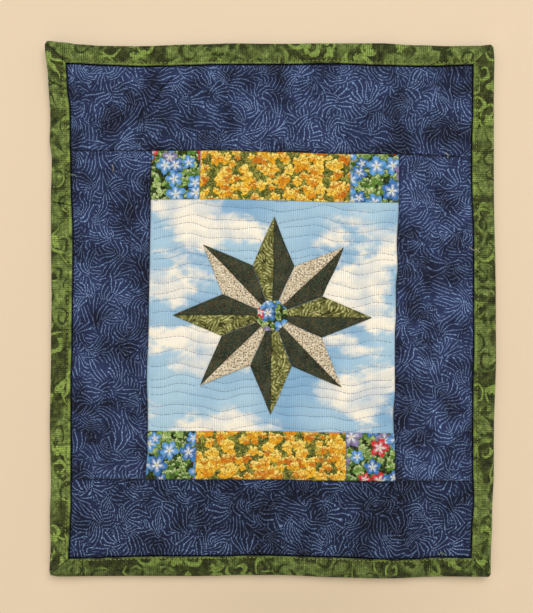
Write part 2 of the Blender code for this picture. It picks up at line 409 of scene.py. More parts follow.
class Shade:
    """A material under construction. Its places are in mm on the flat cloth; fold is how much painted shade
    darkens it, 1 deep in a crease.
    """

    def __init__(self, name, roughness=0.92, sheen=0.06):
        self.material = bpy.data.materials.new(name)
        self.material.use_nodes = True
        self.tree = self.material.node_tree
        self.surface = self.tree.nodes["Principled BSDF"]
        for key, value in (("Roughness", roughness), ("Specular IOR Level", 0.18), ("Sheen Weight", sheen),
                           ("Sheen Roughness", 0.5)):
            self.surface.inputs[key].default_value = value
        at = self.node("ShaderNodeAttribute", attribute_name="flat").outputs["Vector"]
        self.x, self.y, self.fold = self.split(at)

    def feed(self, socket, value):
        if isinstance(value, Wire):
            self.tree.links.new(value.socket, socket)
        elif isinstance(value, bpy.types.NodeSocket):
            self.tree.links.new(value, socket)
        else:
            socket.default_value = (*value, 1) if socket.type == "RGBA" else value

    def node(self, kind, sockets=(), **settings):
        """A node with the given settings; sockets are values or links for its inputs, by name."""
        made = self.tree.nodes.new(kind)
        for key, value in settings.items():
            setattr(made, key, value)
        for key, value in dict(sockets).items():
            self.feed(made.inputs[key], value)
        return made

    def feed_in_turn(self, made, values):
        for socket, value in zip(made.inputs, values):
            self.feed(socket, value)
        return made

    def math(self, operation, *values):
        made = self.feed_in_turn(self.node("ShaderNodeMath", operation=operation), values)
        return Wire(self, made.outputs[0])

    def vector(self, x, y, z=0.0):
        return self.feed_in_turn(self.node("ShaderNodeCombineXYZ"), (x, y, z)).outputs[0]

    def split(self, vector):
        made = self.node("ShaderNodeSeparateXYZ", {"Vector": vector})
        return [Wire(self, out) for out in made.outputs]

    def noise(self, size, layer=0.0, detail=2.0, rough=0.5, x=None, y=None):
        """Noise with features of the given size in mm; layer picks an unlike one."""
        at = self.vector(self.x if x is None else x, self.y if y is None else y, 37.0 + 61.0 * layer)
        made = self.node("ShaderNodeTexNoise",
                         {"Vector": at, "Scale": 1 / size, "Detail": detail, "Roughness": rough})
        return Wire(self, made.outputs["Fac"])

    def warped(self, size, layers, reach):
        """The place, moved about by up to half the reach in waves of the given size."""
        run_x, run_y = [(self.noise(size, layer, 1) - 0.5) * reach for layer in layers]
        return self.x + run_x, self.y + run_y

    def length(self, x, y):
        return self.math("SQRT", x * x + y * y)

    def angle(self, x, y):
        return self.math("ARCTAN2", y, x)

    def wave(self, value):
        """The size of a cosine: 1 at each half turn."""
        return abs(self.math("COSINE", value))

    def line(self, value, at, half_width, soft):
        """1 where a value is close to the given one."""
        return self.ease(abs(value - at) - half_width, soft, -soft)

    def random(self, *values):
        made = self.node("ShaderNodeTexWhiteNoise", {"Vector": self.vector(*values)}, noise_dimensions="3D")
        return Wire(self, made.outputs["Value"])

    def cells(self, x, y, size):
        made = self.node("ShaderNodeTexVoronoi", {"Vector": self.vector(x, y), "Scale": 1 / size},
                         feature="F1", voronoi_dimensions="2D")
        return made.outputs

    def ease(self, value, low, high):
        """0 at low and 1 at high, eased; low may be the larger one."""
        made = self.node("ShaderNodeMapRange", interpolation_type="SMOOTHSTEP")
        flip = low > high
        self.feed_in_turn(made, (value, min(low, high), max(low, high), float(flip), float(not flip)))
        return Wire(self, made.outputs[0])

    def mix(self, share, first, second, blend_type="MIX"):
        made = self.node("ShaderNodeMix", {"Factor": share}, data_type="RGBA", blend_type=blend_type)
        first_socket, second_socket = [socket for socket in made.inputs if socket.type == "RGBA"]
        self.feed(first_socket, first)
        self.feed(second_socket, second)
        return made.outputs[2]

    def dim(self, colour, share):
        """The colour multiplied by a number."""
        return self.mix(1.0, colour, share, "MULTIPLY")

    def ramp(self, value, *stops):
        """Colours against a value: stops are (value, colour)."""
        made = self.node("ShaderNodeValToRGB")
        points = made.color_ramp.elements
        points[0].position, points[1].position = stops[0][0], stops[-1][0]
        points[0].color, points[1].color = (*stops[0][1], 1), (*stops[-1][1], 1)
        for at, colour in stops[1:-1]:
            points.new(at).color = (*colour, 1)
        self.feed(made.inputs[0], value)
        return made.outputs[0]

    def bump(self, height, strength, depth):
        """Sets the surface's small relief, as deep as given in mm."""
        made = self.node("ShaderNodeBump", {"Strength": strength, "Distance": depth * MM, "Height": height})
        self.feed(self.surface.inputs["Normal"], made.outputs[0])

    def weave(self, pitch):
        """Height of a plain weave, 0 to 1, with threads of uneven thickness."""
        turn = math.pi / pitch
        across = self.x + self.noise(3.0, 5, 1) * pitch * 0.8
        up = self.y + self.noise(3.0, 6, 1) * pitch * 0.8
        warp, weft = self.math("SINE", across * turn), self.math("SINE", up * turn)
        return (abs(warp) + abs(weft)) * 0.35 + warp * weft * 0.3

    def cloth(self, colour, pitch=0.42, depth=0.1, streaks=0.16, slub=0.42, ribs=0.0):
        """Finishes a woven cotton: thread streaks, weave, soft unevenness and painted shade in creases over
        the given colour.

        The streaks are as wide as the slub, and the ribs are the stronger threads of one direction.
        """
        weft = self.noise(slub, 1, 1, x=self.x * 0.06, y=self.y)
        warp = self.noise(slub, 2, 1, x=self.x, y=self.y * 0.06)
        height = self.weave(pitch)
        # the weft and warp streaks are the threads' own colour; the height term is painted shade and light,
        # darker where the weave lies low
        tone = (weft + warp) * streaks + (1 - streaks) + (height - 0.35) * 0.12
        if ribs:
            wander = self.noise(9.0, 3, 1) * 2.0
            rib = self.math("SINE", self.x * (2 * math.pi / RIB_PITCH) + wander)
            # painted shade and light: the ribs darker in their hollows and lighter on their crests
            tone = tone + rib * self.ease(self.noise(7.0, 4, 1), 0.3, 0.65) * ribs
            height = height + rib * 0.5
        # painted shade: the colour darkened where fold is high, in creases, seams and slots
        tone = tone * (1 - 0.75 * self.fold)
        self.feed(self.surface.inputs["Base Color"], self.dim(colour, tone))
        self.bump(height + (weft + warp) * 0.5, 0.55, depth)
        return self.material


RIB_PITCH = 1.28
PRINT_SHIFT = 643.0  # each side of the binding shows another stretch of its print
LIP_AT = 1.95  # across the binding's strip: its inner edge, and the row of stitches beside it
STITCHES_AT = 3.2


def rgb(red, green, blue):
    """Linear colour from 0-255 display values."""
    shares = [value / 255 for value in (red, green, blue)]
    return tuple(v / 12.92 if v <= 0.04045 else ((v + 0.055) / 1.055) ** 2.4 for v in shares)


# ---- Cloths ----

ANY_TURN = 6.28
FAN_BACK = 9.0  # how far a fan's root lies behind its cell's middle
FAN_PITCH = 2.3  # between the lines of a fan, halfway out
FAN_BEND = 2.6
BEAD_PITCH = 1.7
COMB_PITCH = 2.15


def combed_lines(shade, period, kernel, turn):
    """Ripples that follow a changing direction: how far from a crest, and how strong they are."""
    made = shade.node("ShaderNodeTexGabor", {
        "Vector": shade.vector(shade.x, shade.y), "Scale": 1 / kernel, "Frequency": kernel / period,
        "Anisotropy": 1.0, "Orientation": turn}, gabor_type="2D")
    phase = Wire(shade, made.outputs["Phase"])
    return abs(phase - 0.5), Wire(shade, made.outputs["Intensity"])


def beside_cell(shade, x, y, size):
    """Distance and direction from the middle of the cell at a place, and three random numbers for it."""
    cells = shade.cells(x, y, size)
    centre_x, centre_y, _ = shade.split(cells["Position"])
    run_x, run_y = x - centre_x, y - centre_y
    return shade.length(run_x, run_y), run_x, run_y, shade.split(cells["Color"])


def fans(shade, size, layer, spread):
    """Fans of beaded lines, one to a cell, each opening from a point beside the cell's middle.

    Gives the lines, and where the fans cover whatever lies under them. The spread is half the angle that a
    fan opens to.
    """
    x, y = shade.warped(size / 2, (layer + 0.1, layer + 0.2), size * 0.3)
    _, run_x, run_y, (red, green, blue) = beside_cell(shade, x + 211 * layer, y, size)
    aim = red * (2 * math.pi)
    across, up = shade.math("COSINE", aim), shade.math("SINE", aim)
    run_x, run_y = run_x + across * FAN_BACK, run_y + up * FAN_BACK
    reach = shade.length(run_x, run_y)
    angle = shade.angle(run_x * across + run_y * up, run_y * across - run_x * up)
    angle = angle + (green - 0.5) * FAN_BEND * (reach / FAN_BACK - 0.6)
    count = angle * (FAN_BACK / FAN_PITCH)
    index = shade.math("FLOOR", count)
    away = abs(count - index - 0.5) * reach / (FAN_BACK / FAN_PITCH)
    pick = shade.random(index, red * 91.0, blue * 37.0)
    past_start = reach - FAN_BACK * (0.30 + 0.34 * pick)
    past_end = reach - FAN_BACK * (1.0 + 0.9 * shade.math("FRACT", pick * 7.0))
    bead = shade.math("SINE", reach * (2 * math.pi / BEAD_PITCH) + pick * 40.0)
    half_width = 0.22 + 0.11 * bead + (shade.noise(0.9, layer + 0.3, 1) - 0.5) * 0.3
    line = shade.ease(away - half_width, 0.16, -0.16)
    line = line * shade.ease(past_start, 0.0, 0.3) * shade.ease(past_end, 0.3, 0.0)
    dot = shade.ease(shade.length(away, past_end) - 0.55, 0.15, -0.15) * 1.35
    edge = abs(angle) - spread
    line = shade.math("MAXIMUM", line, dot) * shade.ease(edge, 0.02, -0.02)
    cover = shade.ease(edge, 0.05, -0.05) * shade.ease(past_end, 0.9, 0.5)
    return line, cover * shade.ease(past_start, -0.9, -0.4)


def navy_print(name, tone):
    """Mottled navy covered with fans of fine beaded lines over combed ones; tone is how light it is."""
    shade = Shade(name)
    cells = shade.cells(shade.x + shade.noise(15.0, 8) * 16, shade.y + shade.noise(15.0, 9) * 16, 17.0)
    red, _, _ = shade.split(cells["Color"])
    turn = shade.noise(36.0, 10, 1) * 12.0 + red * 2.0
    away, strength = combed_lines(shade, COMB_PITCH, 9.0, turn)
    beads = shade.noise(0.85, 11, 1)
    width = 0.09 + (beads - 0.5) * 0.3 + (shade.noise(1.2, 13, 0) - 0.5) * 0.14
    line = shade.ease(away - width, 0.045, -0.045) * shade.ease(strength, 0.08, 0.14)
    for layer, size, spread in ((7, 23.0, 0.8), (3, 20.0, 0.72), (5, 24.0, 0.58)):
        top, cover = fans(shade, size, layer, spread)
        line = line * (1 - cover) + top
    mottle = shade.noise(21.0, 12, 3, 0.6)
    ground = shade.ramp(mottle, (0.35, rgb(23, 27, 47)), (0.47, rgb(37, 46, 78)), (0.62, rgb(52, 64, 106)))
    ink = shade.ramp(mottle, (0.38, rgb(84, 98, 132)), (0.48, rgb(106, 130, 172)), (0.62, rgb(134, 162, 206)))
    worn = 0.45 + 0.95 * shade.noise(0.75, 14, 1)
    grain = shade.noise(0.8, 15, 1, 0.6)
    ground = shade.dim(ground, tone * (0.1 + 1.8 * grain))
    ink = shade.dim(ink, (0.5 + 0.5 * tone) * (0.4 + 1.2 * grain))
    return shade.cloth(shade.mix(line * worn, ground, ink))


def scrollwork(shade, layer):
    """Stems, tapering curls and ragged leaves: 1 on them."""
    x, y = shade.warped(12.0, (layer, layer + 0.3), 7)
    flow = shade.noise(30.0, layer + 1, 0, x=x, y=y)
    stems = shade.line(flow, 0.5, 0.045 * (shade.noise(9.0, layer + 2, 1) - 0.3), 0.005)
    reach, run_x, run_y, (red, green, blue) = beside_cell(shade, x + 97 * layer, y, 16.0)
    turn = shade.angle(run_x, run_y * shade.math("SIGN", green - 0.5)) / (2 * math.pi)
    turn = shade.math("FRACT", turn + red + 1.0)
    half_width = 0.3 + 1.0 * shade.math("SINE", turn * math.pi) * (0.5 + 0.6 * blue)
    curls = shade.line(reach, 1.8 + 3.6 * turn + 1.4 * blue, half_width, 0.3)
    reach, run_x, run_y, (red, _, blue) = beside_cell(shade, x - 53 * layer, y + 31, 13.0)
    lobes = shade.wave(shade.angle(run_x, run_y) * 1.5 + red * ANY_TURN)
    ragged = (shade.noise(1.3, layer + 3, 2) - 0.5) * 5.0
    leaves = shade.ease(reach - (1.6 + 2.4 * lobes + ragged), 0.4, -0.4) * shade.ease(blue, 0.45, 0.5)
    return shade.math("MAXIMUM", shade.math("MAXIMUM", stems, curls), leaves)


def green_print():
    """Damask-like green: dark scrolls where the ground is light, and light ones where it is dark."""
    shade = Shade("green_print")
    light_zone = shade.ease(shade.noise(19.0, 26, 1, 0.5), 0.45, 0.55)
    mottle = shade.noise(4.0, 20, 5, 0.85)
    light = shade.ramp(mottle, (0.34, rgb(58, 68, 33)), (0.5, rgb(98, 114, 57)), (0.64, rgb(136, 154, 84)))
    dark = shade.ramp(mottle, (0.34, rgb(27, 30, 14)), (0.5, rgb(56, 63, 30)), (0.66, rgb(98, 110, 54)))
    scrolls = scrollwork(shade, 21)
    worn = shade.ease(shade.noise(0.8, 25, 2, 0.7), 0.34, 0.52)
    on_light = shade.mix(scrolls * (0.45 + 0.5 * worn), light, rgb(42, 48, 20))
    on_dark = shade.mix(scrolls * (0.3 + 0.6 * worn), dark, rgb(138, 162, 78))
    colour = shade.mix(light_zone, on_dark, on_light)
    speckle = shade.noise(0.75, 27, 2, 0.75)
    colour = shade.dim(colour, 0.1 + 1.8 * speckle)
    # painted highlight along the lip's crest, where light catches the fold, with some real fold wear: lighter
    # lime
    lit_worn_lip = shade.ease(abs(shade.y - LIP_AT), 0.8, 0.45)
    lit_worn_lip = lit_worn_lip * shade.ease(shade.noise(5.0, 28, 2), 0.35, 0.65)
    colour = shade.mix(lit_worn_lip * 0.6, colour, rgb(138, 164, 74))
    # painted shade: dark spots in the needle holes along the row of stitches
    stitch_pit_shade = shade.ease(abs(shade.y - STITCHES_AT), 0.5, 0.25) * shade.noise(1.3, 29, 1)
    # painted shade and painted light: the bottom side of the strip darker and the left side lighter, as the
    # light falls on them
    below = shade.ease(abs(shade.x - 2 * PRINT_SHIFT), 150, 140)
    left = shade.ease(shade.x, 3 * PRINT_SHIFT - 20, 3 * PRINT_SHIFT - 10)
    colour = shade.dim(colour, (0.92 - 0.15 * below + 0.14 * left) * (1 - stitch_pit_shade * 0.9))
    return shade.cloth(colour, streaks=0.8, slub=0.7, ribs=0.36)


def sky_print():
    """Blue and white marbled cotton."""
    shade = Shade("marbled_blue_print")
    cloud = shade.noise(34.0, 30, 6, 0.6, x=shade.x * 0.62)
    blue = shade.ramp(shade.noise(50.0, 31, 2), (0.35, rgb(134, 175, 208)), (0.65, rgb(172, 204, 223)))
    white = shade.ramp(shade.noise(18.0, 32, 3), (0.35, rgb(210, 216, 218)), (0.55, rgb(248, 241, 224)))
    return shade.cloth(shade.mix(shade.ease(cloud, 0.47, 0.57), blue, white), streaks=0.14, ribs=0.14)


def speckled(name, ground, specks, share, size=0.9):
    """A mottled cotton with small specks of other colours."""
    shade = Shade(name)
    tone = shade.noise(7.0, 40, 3, 0.65)
    colour = shade.ramp(tone, (0.3, ground[0]), (0.7, ground[1]))
    for i, speck in enumerate(specks):
        spot = shade.ease(shade.noise(size, 41 + i, 2, 0.6), share, share + 0.06)
        colour = shade.mix(spot, colour, speck)
    return shade.cloth(colour)


def leaf_print():
    """Olive cotton with short brushed leaves."""
    shade = Shade("leaf_print")
    turn = shade.noise(11.0, 50, 1) * 9
    away, strength = combed_lines(shade, 1.9, 4.2, turn)
    rough = (shade.noise(0.8, 52, 2, 0.7) - 0.5) * 0.5
    leaves = shade.ease(away + rough, 0.3, 0.1) * shade.ease(strength, 0.1, 0.3)
    tone = shade.noise(4.0, 51, 4, 0.7)
    ground = shade.ramp(tone, (0.38, rgb(42, 44, 16)), (0.62, rgb(128, 128, 68)))
    ink = shade.ramp(tone, (0.38, rgb(120, 120, 62)), (0.62, rgb(208, 206, 142)))
    return shade.cloth(shade.mix(leaves, ground, ink))


def blossoms(shade, size, layer):
    """Open five-petalled flowers, one to a cell.

    Gives the petals, how far out a point lies (0 to 1), a random number and the lobes of the petals.
    """
    away, run_x, run_y, (red, green, _) = beside_cell(shade, shade.x + 173 * layer, shade.y, size)
    lobes = shade.wave(shade.angle(run_x, run_y) * 2.5 + red * ANY_TURN)
    frill = shade.noise(1.2, layer + 0.5, 2)
    edge = (0.62 + 0.38 * lobes + (frill - 0.5) * 0.55) * size * 0.41 * (0.75 + 0.35 * green)
    out = away / edge
    return shade.ease(out, 1.04, 0.94), out, red, lobes


def ruffled(shade, size, layer, kept):
    """Ruffled open flowers or leaves, one to a cell in the kept share of cells.

    Gives the petals, how far out a point lies (0 to 1), how high in its flower (-1 to 1), a random number
    and the lobes of the petals.
    """
    x, y = shade.warped(size / 2, (layer + 0.2, layer + 0.4), size * 0.5)
    away, run_x, run_y, (red, green, blue) = beside_cell(shade, x + 173 * layer, y, size)
    lobes = shade.wave(shade.angle(run_x, run_y) * 2.5 + red * ANY_TURN)
    frill = shade.noise(1.5, layer + 0.5, 3, 0.7)
    edge = (0.7 + 0.3 * lobes + (frill - 0.5) * 0.9) * size * 0.47 * (0.7 + 0.5 * green)
    out = away / edge
    petals = shade.ease(out, 1.04, 0.94) * shade.ease(blue, kept, kept - 0.02)
    return petals, out, run_y / edge, red, lobes


def clusters(shade, colour, layers, hues, lit_hue, deep_hue, bright):
    """Ruffled shapes in bunches over a colour, lit from above and deeper towards their middles.

    Layers are (noise layer, size, share of the cells that hold one); hues are the stops of their own colours.
    """
    grain = shade.noise(0.8, 65, 2, 0.75)
    for layer, size, kept in layers:
        petals, out, high, pick, lobes = ruffled(shade, size, layer, kept)
        lit = shade.ease(high + (grain - 0.5) * 1.6 + (lobes - 0.6) * 0.7, -0.1, 0.9)
        petal = shade.mix(lit * 0.8, shade.ramp(pick, *hues), lit_hue)
        deep = shade.ease(out + (grain - 0.5) * 1.1 + lobes * 0.5, 0.75, 0.2)
        petal = shade.mix(deep * 0.85, petal, deep_hue)
        petal = shade.dim(petal, bright + 0.22 * lobes + 1.1 * (grain - 0.1))
        colour = shade.mix(petals, colour, petal)
    return colour


def gold_print():
    """Golden ruffled flowers in loose bunches over thin leaves."""
    shade = Shade("gold_flower_print")
    turn = shade.noise(7.0, 64, 1) * 8
    away, strength = combed_lines(shade, 1.3, 3.2, turn)
    blades = shade.ease(away, 0.3, 0.12) * shade.ease(strength, 0.1, 0.3)
    tone = shade.noise(2.2, 60, 3, 0.75)
    leaves = shade.ramp(tone, (0.36, rgb(38, 48, 22)), (0.52, rgb(84, 96, 40)), (0.64, rgb(150, 148, 62)))
    grass = shade.ramp(tone, (0.4, rgb(104, 122, 52)), (0.6, rgb(196, 186, 88)))
    hues = ((0.0, rgb(200, 110, 20)), (0.35, rgb(228, 148, 26)), (0.7, rgb(244, 186, 42)),
            (1.0, rgb(248, 206, 84)))
    bunches = ((61, 5.2, 0.8), (62, 8.6, 0.7), (63, 6.6, 0.62))
    colour = shade.mix(blades * 0.8, leaves, grass)
    colour = clusters(shade, colour, bunches, hues, rgb(255, 236, 132), rgb(176, 74, 8), 0.32)
    rust = shade.ease(shade.noise(0.95, 66, 2, 0.7), 0.56, 0.64)
    colour = shade.mix(rust * 0.55, colour, rgb(128, 62, 14))
    green = shade.ease(shade.noise(1.0, 67, 2, 0.7), 0.57, 0.63)
    return shade.cloth(shade.mix(green * 0.6, colour, rgb(66, 80, 30)))


def blue_flower_print():
    """Blue flowers, and a few red and violet ones, over bunches of green leaves."""
    shade = Shade("blue_flower_print")
    colour = shade.ramp(shade.noise(1.6, 70, 2, 0.7), (0.4, rgb(20, 26, 16)), (0.62, rgb(64, 84, 36)))
    hues = ((0.0, rgb(58, 92, 36)), (0.4, rgb(96, 138, 54)), (0.75, rgb(136, 170, 84)),
            (1.0, rgb(176, 198, 124)))
    bunches = ((74, 4.6, 0.8), (75, 6.2, 0.8), (77, 5.2, 0.6))
    colour = clusters(shade, colour, bunches, hues, rgb(206, 220, 160), rgb(44, 70, 28), 0.26)
    for layer, size in ((72, 13.0), (73, 15.5)):
        petals, out, pick, lobes = blossoms(shade, size, layer)
        hue = shade.ramp(pick, (0.0, rgb(52, 110, 178)), (0.45, rgb(88, 150, 208)),
                         (0.86, rgb(132, 118, 164)), (0.94, rgb(200, 46, 50)))
        hue.node.color_ramp.interpolation = "CONSTANT"
        streak = shade.noise(0.9, 76, 2)
        pale = shade.ease(out + (streak - 0.5) * 1.1, 0.8, 0.15)
        petal = shade.mix(pale * (0.35 + 0.6 * lobes), hue, rgb(228, 234, 236))
        petal = shade.dim(petal, 0.3 + 0.45 * lobes + 0.6 * streak)
        petal = shade.mix(shade.ease(out, 0.16, 0.09), petal, rgb(226, 208, 138))
        rim = shade.ease(out, 1.0, 1.06) * shade.ease(out, 1.2, 1.1)
        colour = shade.mix(rim * 0.6, colour, rgb(22, 30, 20))
        colour = shade.mix(petals, colour, petal)
    return shade.cloth(colour)


def plain_cotton(name, colour):
    shade = Shade(name)
    tone = shade.noise(30.0, 80, 3)
    pale = tuple(min(1.0, value * 1.12) for value in colour)
    return shade.cloth(shade.ramp(tone, (0.3, colour), (0.7, pale)), pitch=0.5, depth=0.14, streaks=0.2)


def thread(name, colour):
    """Twisted sewing thread; flat.x runs along it."""
    shade = Shade(name, roughness=0.6, sheen=0.2)
    twist = shade.math("SINE", shade.x * 9.0 + shade.y * 2.0)
    # painted shade and light along the twist: darker in its grooves, lighter on its crests
    shade.feed(shade.surface.inputs["Base Color"], shade.dim(colour, 0.9 + 0.12 * twist))
    shade.bump(twist, 0.5, 0.04)
    return shade.material


# ---- Mesh helpers ----


def add(name, data):
    """A new object in the scene."""
    made = bpy.data.objects.new(name, data)
    bpy.context.scene.collection.objects.link(made)
    return made


def add_mesh(name, points, faces, flat, material):
    """A mesh from points in mm, with each point's place on the flat cloth."""
    data = bpy.data.meshes.new(name)
    data.from_pydata((np.asarray(points) * MM).tolist(), [], faces)
    attribute = data.attributes.new("flat", "FLOAT_VECTOR", "POINT")
    attribute.data.foreach_set("vector", np.asarray(flat, np.float32).ravel())
    data.materials.append(material)
    return add(name, data)


def make_piece(name, points, faces, flat, material):
    """A smooth mesh that rides on the body."""
    piece = add_mesh(name, points, faces, flat, material)
    piece.data.shade_smooth()
    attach(piece, "root")
    return piece


def thicken(piece, thickness):
    shell = piece.modifiers.new("thickness", "SOLIDIFY")
    shell.thickness = thickness * MM
    shell.offset = -1.0


def net_faces(rows, columns, first=0, loop_rows=False, loop_columns=False):
    """Quads of a net whose points are numbered along its rows, facing the viewer."""
    faces = []
    for i in range(rows if loop_rows else rows - 1):
        for j in range(columns if loop_columns else columns - 1):
            here, along = i * columns + j, i * columns + (j + 1) % columns
            below = ((i + 1) % rows) * columns
            faces.append((first + here, first + below + j, first + below + (j + 1) % columns, first + along))
    return faces


def cloth_points(x, z, off):
    """Points in mm at distances off the wall."""
    return np.stack([x, -off, z], -1).reshape(-1, 3)


def spaced(length, step, ends):
    """Stations from 0 to a length, a step apart, with the given ones near both ends."""
    inner = np.arange(CLEAR_OF_ENDS, length - CLEAR_OF_ENDS, step)
    return np.concatenate([[0.0], ends, inner, length - np.array(ends)[::-1], [length]])


def strip_stations(marks, first, last, step):
    """Stations from guide line first to last: close beside seams and the binding's inner edges."""

    def fine(count, way):
        if count in (0, FOLD):
            inner = marks[1 if count == 0 else FOLD - 1]
            under = [marks[count] + way * EDGE_INSET, marks[count] + way * UNDER_BINDING]
            return under + [inner + way * at for at in LIP_FINE]
        return [marks[count] + way * (SEAM_GAP + at) for at in SEAM_FINE]

    head, tail = fine(first, 1), fine(last, -1)[::-1]
    return np.concatenate([head, np.arange(head[-1] + step, tail[0] - 0.6 * step, step), tail])


def flat_places(x, z, turned, shift, fold=0.0):
    """Where a piece was cut from its cloth: turned a quarter or not, then shifted. Fold is the painted shade
    in its creases.
    """
    first, second = (z, -x) if turned else (x, z)
    return np.stack([first + shift[0], second + shift[1], fold + np.zeros_like(x)], -1).reshape(-1, 3)


# ---- Borders, panel and patches ----

TOP_THICKNESS = 0.35
PATCH_THICKNESS = 0.25
EDGE_INSET = 2.8  # how far inside the fold the strips and the backing end
UNDER_BINDING = 7.0  # a second row of points, under the binding
BORDER_STEP, FINE_STEP = 1.3, 0.45
# Distances of the close stations from a seam, and from the binding's inner edge.
SEAM_FINE = (0.0, 0.15, 0.35, 0.65, 1.1, 1.8, 2.8)
LIP_FINE = (-1.6, -0.6, -0.1, 0.12, 0.3, 0.5, 0.75, 1.1, 1.7, 2.6)
SEAM_GAP = 0.03
CLEAR_OF_ENDS = 4.2  # where the even stations start
PANEL_STEPS = (1.15, 0.7)  # across and down
BACK_STEPS = (2.2, 1.15)
PATCH_STEP = 1.1
PATCH_GAP = 0.12  # between patches that meet
PATCH_RINGS = (0.0, 0.2, 0.5, 1.0)  # how far inside a patch's edge its first rows of points lie


def border(side, columns, rows, material, turned, shift, fine=((0, 0), (0, 0))):
    """One strip between guide lines; sides at a fold stop inside the binding.

    The stations are close together in the fine spans, which are in mm across and down.
    """
    spans = []
    for (first, last), marks, (start, end) in zip((columns, rows), (WIDE, TALL), fine):
        stations = strip_stations(marks, first, last, BORDER_STEP)
        stations = stations[(stations < start) | (stations > end)]
        stations = np.sort(np.concatenate([stations, np.arange(start + 0.4, end - 0.2, FINE_STEP)]))
        spans.append(np.interp(stations, marks, range(FOLD + 1)))
    column, row = np.meshgrid(*spans)
    x, z = place(column, row)
    off, fold = border_front(column, row, x, z)
    piece = make_piece(side + "_strip", cloth_points(x, z, off + curl(x, z)), net_faces(*x.shape),
                       flat_places(x, z, turned, shift, fold), material)
    thicken(piece, TOP_THICKNESS)
    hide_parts("border_" + side)


def panel_ground(material):
    """The centre panel's ground cloth, quilted in wandering lines."""
    across, down = np.meshgrid(*(SEAM_GAP + spaced(length - 2 * SEAM_GAP, step, SEAM_FINE[1:])
                                 for length, step in zip((PANEL_WIDTH, PANEL_HEIGHT), PANEL_STEPS)))
    x, z = from_panel(across, down)
    off = ground_front(across, down) + curl(x, z)
    piece = make_piece("panel_ground", cloth_points(x, z, off), net_faces(*x.shape),
                       flat_places(x, z, False, (400, 90)), material)
    thicken(piece, TOP_THICKNESS)
    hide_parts("centre_panel")
    return piece


def patch_net(polygon):
    """Points and triangles that fill a polygon, with rows of points close inside its edge."""
    corners = np.array(polygon, float)
    centre = corners.mean(0)
    area = 0.5 * sum(a[0] * b[1] - b[0] * a[1] for a, b in zip(corners, np.roll(corners, -1, 0)))
    corners = corners if area > 0 else corners[::-1]
    inner_radius = depth_in(polygon, *centre)
    corners = corners + (centre - corners) * (PATCH_GAP / inner_radius)
    points = []
    for ring in PATCH_RINGS:
        for start, end in zip(corners, np.roll(corners, -1, 0)):
            start, end = (corner + (centre - corner) * (ring / inner_radius) for corner in (start, end))
            count = max(2, round(np.hypot(*(end - start)) / PATCH_STEP))
            points += [start + (end - start) * k / count for k in range(count)]
        if ring == PATCH_RINGS[0]:
            edges = [(k, (k + 1) % len(points)) for k in range(len(points))]
    grid_x, grid_y = np.meshgrid(*(np.arange(low, high, PATCH_STEP)
                                   for low, high in zip(corners.min(0), corners.max(0))))
    grid_x = grid_x + 0.5 * PATCH_STEP * (np.arange(grid_x.shape[0]) % 2)[:, None]
    inside = depth_in(polygon, grid_x, grid_y) > 1.8
    points += list(np.stack([grid_x[inside], grid_y[inside]], -1))
    made = geometry.delaunay_2d_cdt([Vector(point) for point in points], edges, [], 1, 1e-5)
    places = np.array([list(point) for point in made[0]])
    return places, [tuple(face) for face in made[2]]


def patch(name, material, thread_material, raised=0.0, shift=(0, 0)):
    """All patches cut from one cloth, as one piece, with their edge stitching."""
    points, faces, flat, seams = [], [], [], []
    count = 0
    for number, polygon in enumerate(PATCHES[name]):
        places, triangles = patch_net(polygon)
        surface = partial(patch_front, polygon, raised)
        x, z = from_panel(*places.T)
        points.append(cloth_points(x, z, surface(*places.T) + curl(x, z)))
        flat.append(flat_places(x, z, False, (shift[0] + 47 * number, shift[1])))
        faces += [tuple(count + i for i in triangle) for triangle in triangles]
        count += len(places)
        outline = patch_outline(polygon)
        seams += [(side, surface) for side in zip(outline, outline[1:])]
    piece = make_piece(name, np.concatenate(points), faces, np.concatenate(flat), material)
    thicken(piece, PATCH_THICKNESS)
    return [piece, sew(name + "_stitching", seams, thread_material)]


# ---- Stitches ----

STITCH = 2.6  # from one stitch's start to the next
THREAD_RADIUS = 0.15
LEAST_OFF = 0.28  # of a stitch on the back, off the wall
QUILTED = {"shown": 0.94, "lift": 0.14, "radius": 0.11}
THREAD_SHIFT = 3.7  # from one stitch to the next on the thread's own pattern
RING_SIDES = 5
END_RADIUS = 0.13
END_RINGS = 13
# Rings of a stitch: share of its length, how far up in thread radii, and thickness.
STITCH_RINGS = ((0.0, -0.9, 0.45), (0.16, 0.25, 1.0), (0.5, 0.55, 1.0), (0.84, 0.25, 1.0), (1.0, -0.9, 0.45))


def unit(vectors):
    return vectors / np.linalg.norm(vectors, axis=1, keepdims=True)


def sideways(run, out):
    """Unit vectors to the side of each run of thread and up from the cloth; out points off the cloth."""
    side = unit(np.cross(run, out))
    return side, np.cross(side, run)


def round_ring(centre, side, up, radius):
    """Points round each centre, an array of centre by side."""
    turns = [2 * math.pi * k / RING_SIDES for k in range(RING_SIDES)]
    return np.stack([centre + (side * math.cos(turn) + up * math.sin(turn)) * radius for turn in turns], -2)


def tube_mesh(name, rings, along, around, material):
    """Closed tubes of thread from points by tube, ring and side, with their places along and around."""
    tubes, count, sides = rings.shape[:3]
    one = net_faces(count, sides, loop_columns=True)
    one += [tuple(range(sides))[::-1], tuple(range((count - 1) * sides, count * sides))]
    faces = [tuple(base + i for i in face) for base in range(0, tubes * count * sides, count * sides)
             for face in one]
    flat = np.stack([np.broadcast_to(values, rings.shape[:3]) for values in (along, around, 0.0)], -1)
    return make_piece(name, rings.reshape(-1, 3), faces, flat.reshape(-1, 3), material)


